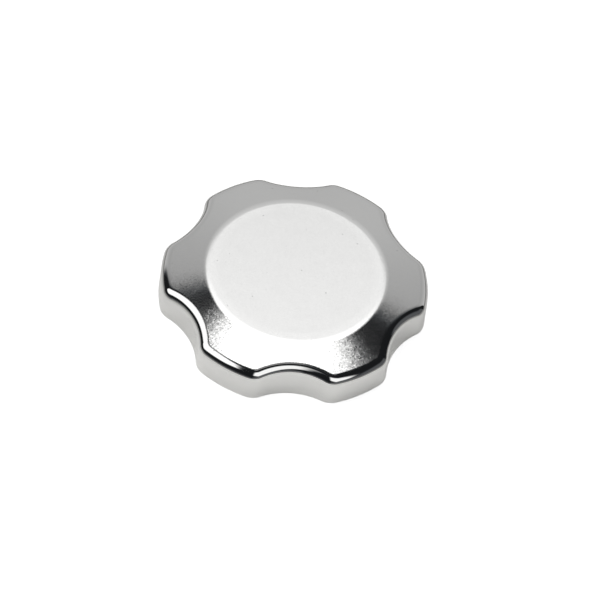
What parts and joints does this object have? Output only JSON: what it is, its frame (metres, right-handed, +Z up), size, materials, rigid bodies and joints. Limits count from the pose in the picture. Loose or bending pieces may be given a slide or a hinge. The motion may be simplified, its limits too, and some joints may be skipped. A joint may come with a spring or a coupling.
{
  "type": "fuel tank cap",
  "caption": "Round chrome fuel tank cap with finger flutes round its skirt, and a sprung bayonet claw, rubber seal and foam vent underneath.",
  "frame": {"origin": "centre of the skirt's bottom rim, in the plane that the cap stands on", "axes": "+Z up through the crown, along the cap's own axis; +X through a lobe of the skirt and along the claw's two ears; the flutes lie at 30 degrees to +X and every 60 degrees on, so one faces -Y"},
  "size_m": [0.07, 0.0666, 0.0115],
  "materials": {
    "chrome_plate": "chrome plate, fine blasted grain on the crown and cone, polished edge radius, smooth skirt",
    "zinc_plate": "bright zinc plate on pressed steel",
    "zinc_plate_claw": "bright zinc plate on blanked steel",
    "seal_rubber": "matte black moulded nitrile rubber",
    "spring_steel": "hardened spring strip, as rolled",
    "washer_steel": "zinc-plated washer",
    "rivet_steel": "turned and zinc-plated rivet",
    "baffle_steel": "plain pressed sheet",
    "filter_foam": "open-cell charcoal foam"
  },
  "bodies": {
    "cap": {"cap_shell": "chrome_plate", "inner_cover": "zinc_plate", "seal_ring": "seal_rubber", "leaf_spring": "spring_steel", "thrust_washer": "washer_steel", "backing_washer": "washer_steel", "shoulder_rivet": "rivet_steel", "splash_baffle": "baffle_steel", "vent_foam": "filter_foam"},
    "claw": {"lock_claw": "zinc_plate_claw"}
  },
  "joints": [
    {"name": "claw_float", "type": "slide", "parent": "cap", "child": "claw", "axis": [0, 0, -1], "range_m": [0, 0.001], "stiffness_N_per_m": 20000, "springref_m": -0.0004, "deforming": ["leaf_spring"]}
  ]
}
